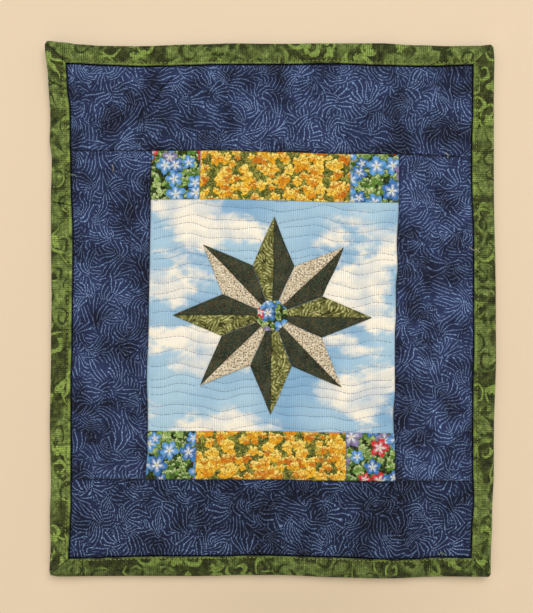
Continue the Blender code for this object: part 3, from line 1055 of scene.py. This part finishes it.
def stitch_mesh(name, starts, ends, out, material, radius=THREAD_RADIUS):
    """One small bowed tube for each stitch, from start to end; out points off the cloth."""
    run = ends - starts
    length = np.linalg.norm(run, axis=1, keepdims=True)
    side, up = sideways(run / length, out)
    shares = np.array([share for share, _, _ in STITCH_RINGS])
    rings = [round_ring(starts + run * share + up * lift * radius, side, up, radius * thick)
             for share, lift, thick in STITCH_RINGS]
    along = length * shares + THREAD_SHIFT * np.arange(len(starts))[:, None]
    return tube_mesh(name, np.stack(rings, 1), along[..., None], np.arange(RING_SIDES) * 0.2, material)


def dashes(line, shown=0.8):
    """Start and end points of the stitches along a line of points, with a little irregularity.

    The share of a stitch's length that lies on the surface is shown.
    """
    line = np.asarray(line, float)
    step = np.linalg.norm(np.diff(line, axis=0), axis=1)
    way = np.concatenate([[0], np.cumsum(step)])
    draw = np.random.default_rng(int(way[-1] * 10))
    begin = np.arange(0.4, way[-1] - STITCH, STITCH)
    begin = begin + draw.uniform(-0.12, 0.12, len(begin))
    finish = begin + STITCH * (shown + draw.uniform(-0.05, 0.02, len(begin)))

    def at(places):
        return np.stack([np.interp(places, way, line[:, k]) for k in range(line.shape[1])], -1)

    return at(begin), at(finish)


def patch_outline(polygon):
    """The closed line that a patch is sewn down along."""
    corners = np.array(polygon, float)
    centre = corners.mean(0)
    inset = corners + (centre - corners) * PATCH_SEW_IN / depth_in(polygon, *centre)
    return np.concatenate([inset, inset[:1]])


def sew(name, seams, material, slot="panel_cotton", out=-1, shown=0.8, lift=0.0, radius=THREAD_RADIUS,
        keep=None):
    """Stitches along seams, each a line of points across and down the panel and the surface it runs on.

    Out is the way in y that they face, lift how far they stand off, and keep says where they are wanted.
    """
    out = np.array([[0.0, out, 0.0]])
    starts, ends = [], []
    for line, surface in seams:
        begin, finish = dashes(line, shown)
        if keep:
            wanted = keep(*((begin + finish) / 2).T)
            begin, finish = begin[wanted], finish[wanted]
        for flat, found in ((begin, starts), (finish, ends)):
            x, z = from_panel(*flat.T)
            off = np.maximum(surface(*flat.T), LEAST_OFF) + curl(x, z)
            found.append(cloth_points(x, z, off) + out * lift)
    return stitch_mesh(name, np.concatenate(starts), np.concatenate(ends), out, material, radius)


# Loose thread ends: points (x, z, off) that each one runs through.
CREAM_ENDS = (
    ((-98.4, -75.0, 5.4), (-98.0, -76.4, 5.7), (-97.8, -77.8, 5.6), (-98.2, -79.0, 5.4)),
    ((106.6, -67.2, 5.2), (107.4, -68.2, 5.8), (108.2, -69.2, 5.9), (107.8, -70.6, 5.5)),
    ((121.0, -125.4, 5.3), (123.6, -127.6, 6.3), (125.8, -127.2, 6.5), (127.6, -129.0, 6.3)),
)
GREEN_ENDS = (
    ((-124.8, -80.4, 6.2), (-123.2, -81.4, 6.2), (-121.6, -81.0, 5.6), (-120.6, -82.4, 5.4)),
    ((102.4, -315.2, 5.5), (103.6, -313.4, 6.0), (105.2, -314.0, 6.0), (106.4, -315.0, 6.4)),
)


def loose_ends(name, ends, material):
    """Thin bent tubes that lie on the front."""
    ends = np.array(ends)
    knots = range(ends.shape[1])
    way = np.linspace(0, knots[-1], END_RINGS)
    rings = []
    for end in ends:
        line = np.stack([np.interp(way, knots, values) for values in end.T], -1)
        line[1:-1] = (line[:-2] + 2 * line[1:-1] + line[2:]) / 4
        line = np.stack([line[:, 0], -line[:, 2], line[:, 1]], -1)
        side, up = sideways(unit(np.gradient(line, axis=0)), [[0, -1.0, 0]])
        rings.append(round_ring(line, side, up, END_RADIUS))
    around = np.arange(RING_SIDES) * 0.3 * 2 * math.pi / RING_SIDES
    tube_mesh(name, np.stack(rings), way[:, None] * 1.5, around, material)


# ---- Binding ----

# The closed section: distance from the inner edge (or from the fold where that is negative), how far off
# the wall, and 1 where it moves with the front's relief.
INWARD, OFF, IN_FRONT = np.array((
    (0.75, RIM_FRONT + 0.10, 1), (0.10, RIM_FRONT + 0.12, 1), (0.0, RIM_FRONT + 0.45, 1),
    (0.06, RIM_FRONT + 0.85, 1), (0.35, BINDING_FRONT - 0.12, 1), (0.8, BINDING_FRONT - 0.02, 1),
    (1.2, BINDING_FRONT - 0.2, 1), (1.5, BINDING_FRONT - 0.44, 1), (1.85, BINDING_FRONT - 0.2, 1),
    (2.4, BINDING_FRONT, 1), (3.2, BINDING_FRONT + 0.09, 1), (4.1, BINDING_FRONT + 0.15, 1),
    (5.0, BINDING_FRONT + 0.19, 1), (5.9, BINDING_FRONT + 0.2, 1), (6.8, BINDING_FRONT + 0.19, 1),
    (7.7, BINDING_FRONT + 0.16, 1), (8.6, BINDING_FRONT + 0.1, 1), (9.5, BINDING_FRONT + 0.04, 1),
    (-2.3, BINDING_FRONT - 0.03, 1), (-1.5, BINDING_FRONT - 0.16, 1), (-0.85, BINDING_FRONT - 0.48, 1),
    (-0.38, BINDING_FRONT - 1.0, 1), (-0.1, BINDING_FRONT - 1.75, 1), (-1e-6, BINDING_FRONT / 2, 1),
    (-0.12, 2.0, 0), (-0.5, 1.2, 0), (-1.2, 0.5, 0), (-2.2, 0.1, 0), (8.0, 0.0, 0), (5.4, 0.0, 0),
    (2.6, 0.0, 0), (1.8, 0.15, 0), (1.4, 0.34, 0), (1.0, 0.15, 0), (0.4, 0.05, 0), (0.0, 0.3, 0),
    (0.05, 0.7, 0), (0.7, 0.95, 0), (8.0, 1.1, 0), (-2.4, 1.6, 0), (-2.0, BINDING_FRONT / 2, 1),
    (-2.4, BINDING_FRONT - 1.3, 1), (8.0, RIM_FRONT + 0.3, 1),
)).T
BINDING_STEP, JOIN_STEP = 1.35, 0.22
CORNER_FINE = np.array([0.22, 0.45, 0.7, 1.0, 1.4, 2.0, 3.0])  # distances of close stations from a corner
CORNER_SPREAD = 26.0  # how far from a corner the stations lean towards its mitre
CORNER_REACH = 14  # how far from a corner the edges and the stitches are drawn to it
BINDING_WIDTH = 12.8
GROOVE_IN_SECTION = 1.5  # how far in the section above has its groove
GROOVE_AT_CORNERS = 1.6
GROOVES = (1.5, 2.4, 1.0, 2.4)  # how far in the top-stitching runs on the top, right, bottom and left
# On the front and the back: how far off the wall it lies, share of the relief it follows, and facing.
TOP_STITCHING = ((BINDING_FRONT - 0.26, 0.8, -1.0), (0.22, -0.42, 1.0))
MITRES = (1.0, 0.45, 0.8, 0.6)  # how sharply each corner is creased
# Each side as seen going clockwise: which corner it starts and ends at, and its two guide lines.
Side = namedtuple("Side", "start end fold inner upright")
BINDING_SIDES = (
    Side((0, 0), (FOLD, 0), ACROSS[0], ACROSS[1], False),
    Side((FOLD, 0), (FOLD, FOLD), DOWN[5], DOWN[4], True),
    Side((FOLD, FOLD), (0, FOLD), ACROSS[5], ACROSS[4], False),
    Side((0, FOLD), (0, 0), DOWN[0], DOWN[1], True),
)


def inner_corner(corner):
    return tuple(1 if count == 0 else FOLD - 1 for count in corner)


def corner_points(corner):
    """The outer and inner points of the mitre at a corner."""
    outer = np.array([float(value) for value in place(*corner)])
    inner = np.array([float(value) for value in place(*inner_corner(corner))])
    return outer, inner


def side_length(side):
    start, end = corner_points(side.start)[0], corner_points(side.end)[0]
    axis = 1 if side.upright else 0
    return abs(end[axis] - start[axis])


def binding_place(side, station, share):
    """The point (x, z) at a station along a side; share is 0 at the fold and 1 at the inner edge."""
    station, share = np.broadcast_arrays(np.asarray(station, float), np.asarray(share, float))
    start_outer, start_inner = corner_points(side.start)
    end_outer, end_inner = corner_points(side.end)
    axis = 1 if side.upright else 0
    length = side_length(side)

    def raw(station, share):
        lead = abs(start_inner[axis] - start_outer[axis]) * np.clip(1 - station / CORNER_SPREAD, 0, 1)
        trail = abs(end_inner[axis] - end_outer[axis]) * np.clip(1 - (length - station) / CORNER_SPREAD, 0, 1)
        along = station + share * (lead - trail)
        way = np.sign(end_outer[axis] - start_outer[axis])
        main = start_outer[axis] + way * along
        guide_station = -main if side.upright else main
        other = on_guide(side.fold, guide_station) * (1 - share) + on_guide(side.inner, guide_station) * share
        return np.stack([other, main] if side.upright else [main, other], -1)

    point = raw(station, share)
    for outer, inner, there in ((start_outer, start_inner, 0.0), (end_outer, end_inner, length)):
        wanted = outer + (inner - outer) * share[..., None]
        error = wanted - raw(np.full(station.shape, there), share)
        point = point + error * np.clip(1 - np.abs(station - there) / CORNER_REACH, 0, 1)[..., None]
        blunt = 0.05 * bell(station - there, 1.1) * (1 - share) ** 3
        point = point + (inner - outer) * blunt[..., None]
    return point[..., 0], point[..., 1]


# Creases across the binding: side number, station at the fold, station at the inner edge, depth, step.
Join = namedtuple("Join", "side fold inner depth step")
LEFT_LENGTH = side_length(BINDING_SIDES[3])
JOINS = (
    Join(3, LEFT_LENGTH - 24.0, LEFT_LENGTH - 30.0, 1.8, 0.5),
    Join(3, LEFT_LENGTH - 98.5, LEFT_LENGTH - 101.0, 1.0, 0.25),
    Join(1, 82.0, 86.0, 0.5, 0.15),
)


def groove_in(number, station, length):
    """How far inside the inner edge the stitches run at a station of a side."""
    from_corner = np.clip(np.minimum(station, length - station) / CORNER_REACH, 0, 1)
    return GROOVE_AT_CORNERS + (GROOVES[number] - GROOVE_AT_CORNERS) * from_corner


def local_width(side, station):
    fold, inner = (np.array(binding_place(side, station, share)) for share in (0.0, 1.0))
    return abs(inner - fold)[0 if side.upright else 1]


def binding_relief(number, station, share, length, x, z):
    """Mitre creases, joins and unevenness of the binding's faces, and how much painted shade each point gets
    in a crease.
    """
    relief = 0.10 * ripple(x, z, 14, 21) + 0.05 * ripple(x, z, 5, 22)
    to_corner = np.minimum(station, length - station)
    drawn = MITRES[number] if station < length / 2 else MITRES[(number + 1) % len(MITRES)]
    mitre = drawn * bell(to_corner, 0.34) * np.clip(share / 0.25, 0, 1)
    relief = relief - 1.7 * mitre + 0.22 * bell(to_corner - 1.6, 1.2) + 0.3 * fade(station, 4)
    # painted shade in the mitre crease
    fold = 0.7 * mitre
    for join in JOINS:
        if join.side == number:
            away = station - (join.fold * (1 - share) + join.inner * share)
            relief = relief - join.depth * bell(away, 0.4) + join.step * fade(away, 2.6) * (away > 0)
            # painted shade in the join's crease
            fold = np.maximum(fold, min(join.depth, 1.0) * bell(away, 0.4))
    return relief, fold


def side_stations(number, length):
    """Stations along a side: close together at its corners and round its joins."""
    parts = [[0.0], CORNER_FINE, length - CORNER_FINE, [length - 0.05]]
    near = [(min(join.fold, join.inner) - 1.5, max(join.fold, join.inner) + 2.0)
            for join in JOINS if join.side == number]
    middle = np.arange(4.2, length - 3.2, BINDING_STEP)
    for first, last in near:
        middle = middle[(middle < first - 0.3) | (middle > last + 0.3)]
        parts.append(np.arange(first, last, JOIN_STEP))
    return np.sort(np.concatenate(parts + [middle]))


def binding(material):
    """The folded strip, once round the edge, with mitred corners."""
    level = np.where(np.signbit(INWARD), BINDING_WIDTH + INWARD, INWARD)
    across = np.concatenate([[0.0], np.cumsum(np.hypot(np.diff(level), np.diff(OFF)))])
    by_groove = np.interp(INWARD, (0.35, 1.2, 1.85, 5.0), (0, 1, 1, 0))
    points, places = [], []
    for number, side in enumerate(BINDING_SIDES):
        length = side_length(side)
        for station in side_stations(number, length):
            width = local_width(side, station)
            inward = INWARD + (groove_in(number, station, length) - GROOVE_IN_SECTION) * by_groove
            share = np.where(np.signbit(inward), -inward, width - inward) / width
            x, z = binding_place(side, np.full(len(share), station), share)
            relief, fold = binding_relief(number, station, share, length, x, z)
            off = OFF + relief * np.where(IN_FRONT, 1.0, -0.6) * np.clip((1 - share) * 6, 0.25, 1)
            points.append(cloth_points(x, z, np.maximum(off, 0.02) + curl(x, z)))
            along = (-z if side.upright else x) + PRINT_SHIFT * number
            # the third value is painted shade in creases, on the front only
            places.append(np.stack([along, across, fold * IN_FRONT], -1))
    faces = net_faces(len(points), len(INWARD), loop_rows=True, loop_columns=True)
    piece = make_piece("binding_strip", np.concatenate(points), faces, np.concatenate(places), material)
    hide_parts("binding")
    return piece


def binding_stitches(material):
    """Top-stitching just inside the binding's inner edge, on the front and the back."""
    starts, ends, outs = [], [], []
    for number, side in enumerate(BINDING_SIDES):
        length = side_length(side)
        lines = [], []
        for station in np.arange(0, length, 1.0):
            share = 1 - groove_in(number, station, length) / local_width(side, station)
            x, z = binding_place(side, station, share)
            relief = binding_relief(number, station, share, length, x, z)[0]
            for line, (off, lifted, _) in zip(lines, TOP_STITCHING):
                line.append(cloth_points(x, z, max(off + relief * lifted, 0.2) + curl(x, z))[0])
        for line, (_, _, out) in zip(lines, TOP_STITCHING):
            begin, finish = dashes(line, 0.66)
            starts.append(begin)
            ends.append(finish)
            outs.append(np.tile([0.0, out, 0.0], (len(begin), 1)))
    return stitch_mesh("binding_stitching", np.concatenate(starts), np.concatenate(ends),
                       np.concatenate(outs), material, radius=0.17)


# ---- Back ----


def rear_off(across, down, x, z):
    """The backing cloth: drawn in along the quilting lines and full between them."""
    edge = inside_binding(across, down)
    rim = np.clip(edge / 5, 0, 1)
    rim = rim * rim * (3 - 2 * rim)
    beside_panel = (down > TALL[2]) & (down < TALL[3])
    inside = (across > WIDE[2]) & (across < WIDE[3]) & beside_panel
    panel_across = np.clip(across - WIDE[2], 0, PANEL_WIDTH)
    panel_down = np.clip(down - TALL[2], 0, PANEL_HEIGHT)
    cover = patch_cover(panel_across, panel_down)
    open_ground = np.clip(-cover / 1.5, 0, 1)
    crown = channel(panel_across, panel_down) * open_ground + 0.6 * (1 - open_ground)
    sewn_edge = np.abs(cover - PATCH_SEW_IN)
    drawn = inside * (0.55 * (1 - np.clip(crown, 0, 1)) + 0.35 * bell(sewn_edge, 0.9))
    drawn = drawn + 0.1 * fade(from_seams(across, down, beside_panel), 3)
    uneven = np.clip(0.06 + 0.06 * ripple(x, z, 24, 31), 0.01, None)
    return RIM_REAR * (1 - rim) + rim * (drawn + uneven)


def panel_rear(across, down):
    x, z = from_panel(across, down)
    return rear_off(across + WIDE[2], down + TALL[2], x, z)


def padded_back(material):
    """The backing cloth and wadding, as one filled piece."""
    across, down = np.meshgrid(*(EDGE_INSET + spaced(length - 2 * EDGE_INSET, step, [CLEAR_OF_ENDS / 2])
                                 for length, step in zip((WIDE[5], TALL[5]), BACK_STEPS)))
    x, z = place(np.interp(across, WIDE, range(FOLD + 1)), np.interp(down, TALL, range(FOLD + 1)))
    rear = rear_off(across, down, x, z) + curl(x, z)
    edge = inside_binding(across, down)
    front = RIM_FRONT - TOP_THICKNESS - 1.4 - bell(edge, 2.5) + curl(x, z)
    rows, columns = x.shape
    points = np.concatenate([cloth_points(x, z, front), cloth_points(x, z, rear)])
    faces = net_faces(rows, columns)
    faces += [face[::-1] for face in net_faces(rows, columns, first=rows * columns)]
    rim = [j for j in range(columns)] + [i * columns + columns - 1 for i in range(1, rows)]
    rim += [(rows - 1) * columns + j for j in range(columns - 2, -1, -1)]
    rim += [i * columns for i in range(rows - 2, 0, -1)]
    behind = rows * columns
    faces += [(a, b, b + behind, a + behind) for a, b in zip(rim, rim[1:] + rim[:1])]
    flat = np.tile(flat_places(x, z, False, (0, 0)), (2, 1))
    piece = make_piece("backing", points, faces, flat, material)
    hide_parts("padded_back")
    return piece


# ---- Stage ----

CAMERA_LENS = 55.0
CAMERA_AIM = (-3.6, -162.2)
VIEW_HEIGHT = 378.0  # of the hanging's plane that the camera takes in
FLOOR_Z = -620.0
WALL_Y = 0.6
WALL_TOP = 1500
ROOM = 2500  # from the middle to each side
PAINTED_SHADOW_SPOT = (10, -390)  # painted shadow: the wall is a little darker below the hanging


def wall_paint():
    """Paint, with a painted shadow a little darker in one place and painted light a little lighter close
    round the hanging; clear from behind.
    """
    shade = Shade("wall_paint", roughness=0.95, sheen=0.0)
    run_x, run_y = shade.x - PAINTED_SHADOW_SPOT[0], shade.y - PAINTED_SHADOW_SPOT[1]
    away = shade.length(run_x, run_y)
    half_height = -ACROSS[5].at / 2
    beside = shade.math("MAXIMUM", abs(shade.x) - DOWN[5].at, abs(shade.y + half_height) - half_height)
    # painted shadow round the spot below the hanging, and painted light close round the hanging's outline
    tone = 1 - 0.14 * shade.ease(away, 170, 0) + 0.05 * shade.ease(beside, 18, -4)
    shade.feed(shade.surface.inputs["Base Color"], shade.dim(rgb(231, 211, 184), tone))
    either = shade.feed_in_turn(shade.node("ShaderNodeMixShader"), (
        shade.node("ShaderNodeNewGeometry").outputs["Backfacing"], shade.surface.outputs[0],
        shade.node("ShaderNodeBsdfTransparent").outputs[0]))
    shade.feed(shade.tree.nodes["Material Output"].inputs[0], either.outputs[0])
    return shade.material


def floor_paint():
    shade = Shade("floor_paint", roughness=0.95, sheen=0.0)
    shade.surface.inputs["Base Color"].default_value = (*rgb(226, 218, 204), 1)
    return shade.material


def stage_plane(name, corners, material):
    plane = add_mesh(name, corners, [(0, 1, 2, 3)], [(x, z, 0) for x, _, z in corners], material)
    return plane


def area_light(name, place_mm, aim_mm, size, power, colour):
    data = bpy.data.lights.new(name, "AREA")
    data.shape = "RECTANGLE"
    data.size, data.size_y = (value * MM for value in size)
    data.energy = power
    data.color = colour
    lamp = add(name, data)
    lamp.location = Vector(place_mm) * MM
    lamp.rotation_euler = (Vector(aim_mm) - Vector(place_mm)).to_track_quat("-Z", "Y").to_euler()


def stage():
    wall = stage_plane("wall", [(-ROOM, WALL_Y, FLOOR_Z), (ROOM, WALL_Y, FLOOR_Z), (ROOM, WALL_Y, WALL_TOP),
                                (-ROOM, WALL_Y, WALL_TOP)], wall_paint())
    wall.visible_diffuse = wall.visible_glossy = wall.visible_shadow = wall.visible_transmission = False
    stage_plane("floor", [(-ROOM, -ROOM, FLOOR_Z), (ROOM, -ROOM, FLOOR_Z), (ROOM, ROOM, FLOOR_Z),
                          (-ROOM, ROOM, FLOOR_Z)], floor_paint())
    area_light("key", (250, -1450, 620), (0, 0, -170), (1300, 1000), 14.6, (1.0, 0.975, 0.945))
    area_light("fill", (-500, -1200, -300), (0, 0, -170), (1000, 1000), 1.6, (1.0, 0.98, 0.96))
    area_light("rear", (-300, 1300, 500), (0, 0, -170), (1100, 1100), 12.0, (1.0, 0.98, 0.95))
    world = bpy.data.worlds.new("studio")
    world.use_nodes = True
    world.node_tree.nodes["Background"].inputs["Color"].default_value = (1.0, 0.99, 0.975, 1)
    world.node_tree.nodes["Background"].inputs["Strength"].default_value = 0.5
    bpy.context.scene.world = world
    bpy.context.scene.view_settings.view_transform = "Standard"
    data = bpy.data.cameras.new("camera")
    data.lens = CAMERA_LENS
    data.sensor_width = 36.0
    camera = add("camera", data)
    distance = VIEW_HEIGHT * CAMERA_LENS / data.sensor_width
    camera.location = Vector((CAMERA_AIM[0], -distance - RIM_FRONT, CAMERA_AIM[1])) * MM
    camera.rotation_euler = (math.pi / 2, 0, 0)
    bpy.context.scene.camera = camera


# ---- Assembly ----


def build_borders():
    """The navy strips: the bottom one is darker with painted shade and the right one lighter with painted
    light, as they are lit in the photo.
    """
    navy = navy_print("navy_print", 0.77)
    border("top", (0, FOLD), (0, 2), navy, False, (0, 0), fine=((51, 78), (19, 50)))
    border("bottom", (0, FOLD), (3, FOLD), navy_print("navy_print_painted_shade", 0.48), False, (310, 40))
    border("left", (0, 2), (2, 3), navy, True, (150, 420))
    border("right", (3, FOLD), (2, 3), navy_print("navy_print_painted_light", 0.88), True, (-240, 260))


def build_patches():
    """Every patch and its edge stitching: name, cloth, thread, how far raised, and where it was cut."""
    dark = speckled("dark_green_print", (rgb(30, 36, 28), rgb(66, 70, 52)),
                    (rgb(92, 102, 62), rgb(16, 20, 18), rgb(116, 80, 54), rgb(52, 84, 74)), share=0.6)
    cream = speckled("cream_print", (rgb(200, 184, 152), rgb(228, 214, 186)),
                     (rgb(136, 116, 88), rgb(240, 232, 212), rgb(112, 96, 76)), share=0.54, size=1.0)
    flowers = blue_flower_print()
    pieces = []
    for name, cloth, sewn_with, raised, shift in (
            ("star_dark", dark, (70, 76, 58), 0.0, (0, 0)),
            ("star_olive", leaf_print(), (120, 122, 80), 0.0, (0, 0)),
            ("star_cream", cream, (212, 200, 170), 0.0, (0, 0)),
            ("end_rails", gold_print(), (190, 150, 70), 0.0, (20, 30)),
            ("corner_squares", flowers, (96, 116, 70), 0.0, (60, 10)),
            ("star_middle", flowers, (150, 170, 200), 0.5, (5, 75))):
        pieces += patch(name, cloth, thread(name + "_thread", rgb(*sewn_with)), raised, shift)
    return pieces


def build_panel():
    """The quilted centre panel, with the reverse of its stitches on the backing."""
    ground = panel_ground(sky_print())
    pieces = build_patches()
    across = np.arange(2.0, PANEL_WIDTH - 1.5, 0.8)
    lines = [np.stack([across, down], -1) for down in quilting_lines(across)]
    outlines = [patch_outline(polygon) for polygons in PATCHES.values() for polygon in polygons]
    pieces.append(sew("quilting_stitches", [(line, ground_front) for line in lines],
                      thread("blue_grey_thread", rgb(84, 100, 146)), keep=on_open_ground, **QUILTED))
    behind = dict(slot="backing_cotton", out=1, **QUILTED)
    sew("rear_stitches", [(line, panel_rear) for line in lines],
        thread("bobbin_thread", rgb(176, 180, 184)), keep=on_open_ground, **behind)
    sew("rear_outline_stitches", [(line, panel_rear) for line in outlines],
        thread("rear_outline_thread", rgb(148, 146, 120)), **behind)


def build_edge():
    strip = binding(green_print())
    sewn = binding_stitches(thread("green_thread", rgb(166, 174, 88)))


padded_back(plain_cotton("backing_cotton_weave", rgb(206, 192, 164)))
build_borders()
build_panel()
build_edge()
loose_ends("cream_thread_ends", CREAM_ENDS, thread("loose_cream_thread", rgb(214, 208, 180)))
loose_ends("green_thread_ends", GREEN_ENDS, thread("loose_green_thread", rgb(168, 190, 120)))
stage()
